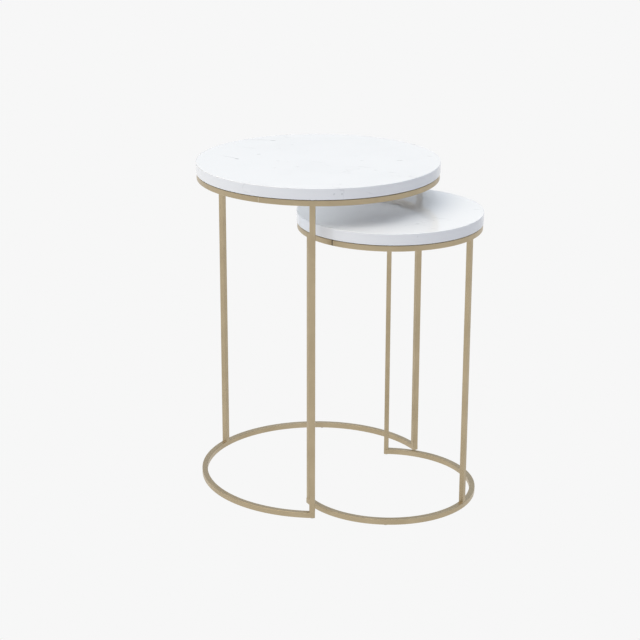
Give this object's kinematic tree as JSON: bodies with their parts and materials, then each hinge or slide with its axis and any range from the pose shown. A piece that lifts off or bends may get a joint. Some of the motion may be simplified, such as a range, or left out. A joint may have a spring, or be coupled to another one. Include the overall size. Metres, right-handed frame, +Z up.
{
  "type": "nesting tables",
  "caption": "Round nesting tables with polished white marble tops on slim champagne metal frames; the small one slides out from under the large one.",
  "frame": {"origin": "on the floor, under the centre of the box round the pair as it stands with the small table partly pulled out", "axes": "+Z up; +X the way the small table slides out from under the large one; +Y to its left, and the plane Y = 0 is the mirror plane of both tables"},
  "size_m": [0.487, 0.4, 0.55],
  "materials": {
    "white_marble": "polished, white with faint grey veins",
    "champagne_metal": "satin champagne-gold coat on steel bar",
    "brass_insert": "turned and knurled",
    "zinc_fixing": "zinc plated",
    "clear_silicone": "translucent matte",
    "felt": "dense pale needle felt"
  },
  "bodies": {
    "large_table": {"large_marble_top": "white_marble", "large_top_ring": "champagne_metal", "large_base_arc": "champagne_metal", "large_back_leg": "champagne_metal", "large_left_leg": "champagne_metal", "large_right_leg": "champagne_metal", "large_front_tab": "champagne_metal", "large_left_tab": "champagne_metal", "large_right_tab": "champagne_metal", "large_top_inserts": "brass_insert", "large_top_screws": "zinc_fixing", "large_top_washers": "zinc_fixing", "large_top_pads": "clear_silicone", "large_floor_glides": "felt"},
    "small_table": {"small_marble_top": "white_marble", "small_top_ring": "champagne_metal", "small_base_arc": "champagne_metal", "small_front_leg": "champagne_metal", "small_left_leg": "champagne_metal", "small_right_leg": "champagne_metal", "small_back_tab": "champagne_metal", "small_left_tab": "champagne_metal", "small_right_tab": "champagne_metal", "small_top_inserts": "brass_insert", "small_top_screws": "zinc_fixing", "small_top_washers": "zinc_fixing", "small_top_pads": "clear_silicone", "small_floor_glides": "felt"}
  },
  "joints": [
    {"name": "small_table_slide", "type": "slide", "parent": "large_table", "child": "small_table", "axis": [1, 0, 0], "range_m": [-0.176, 0.263]}
  ]
}
